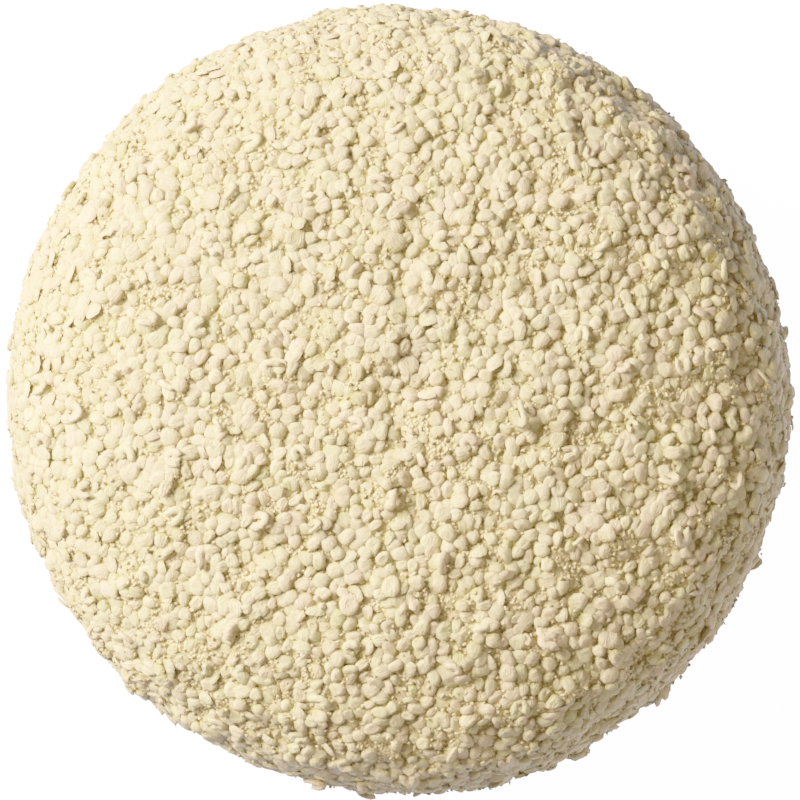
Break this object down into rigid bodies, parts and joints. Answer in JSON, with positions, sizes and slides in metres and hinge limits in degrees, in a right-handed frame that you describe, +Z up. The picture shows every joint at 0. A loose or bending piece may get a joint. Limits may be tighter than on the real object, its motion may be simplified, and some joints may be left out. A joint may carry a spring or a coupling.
{
  "type": "round boucle pouf",
  "caption": "Round squat pouf in chunky looped boucle cloth, filled and closed, with a broad, gently domed top, rounded shoulder, drawn-in base and a flat foot.",
  "frame": {"origin": "middle of the flat foot, on the floor", "axes": "+Z up, through the middle of the crown; the pouf is round, so +X and +Y are any two level directions"},
  "size_m": [0.45, 0.45, 0.36],
  "materials": {
    "boucle_ivory": "matte, looped ivory wool pile"
  },
  "bodies": {
    "root": {"pouf_body": "boucle_ivory"}
  },
  "joints": []
}
